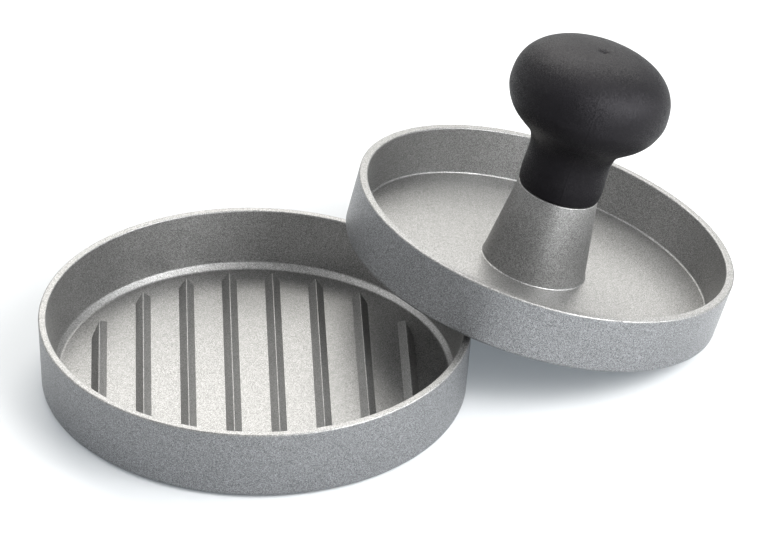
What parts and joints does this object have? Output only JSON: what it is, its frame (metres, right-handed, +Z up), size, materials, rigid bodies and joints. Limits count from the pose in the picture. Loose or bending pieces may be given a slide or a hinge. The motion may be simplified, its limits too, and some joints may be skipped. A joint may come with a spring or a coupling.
{
  "type": "patty press",
  "caption": "Round metal patty press: a shallow dish with parallel ridges on its floor, and a separate press plate with a tapered boss and a black ball knob, leaning on the dish's rim.",
  "frame": {"origin": "centre of the base dish's flat underside, on the surface that the press stands on", "axes": "+Z up along the dish's axis; +X towards the side where the plunger leans; the ridges on the dish's floor run within 4 degrees of Y"},
  "size_m": [0.1945, 0.1568, 0.0846],
  "materials": {
    "dish_coated_aluminium": "fine metallic non-stick coating, satin",
    "plate_coated_aluminium": "fine metallic non-stick coating, satin",
    "knob_black_plastic": "matt black moulding",
    "insert_brass": "turned",
    "screw_stainless_steel": "plain",
    "washer_stainless_steel": "plain"
  },
  "bodies": {
    "dish": {"base_dish": "dish_coated_aluminium"},
    "plunger": {"press_plate": "plate_coated_aluminium", "knob": "knob_black_plastic", "knob_insert": "insert_brass", "knob_screw": "screw_stainless_steel", "screw_washer": "washer_stainless_steel"}
  },
  "joints": [
    {"name": "plunger_lift", "type": "slide", "parent": "dish", "child": "plunger", "axis": [0, 0, 1], "range_m": [0, 0.06]}
  ]
}
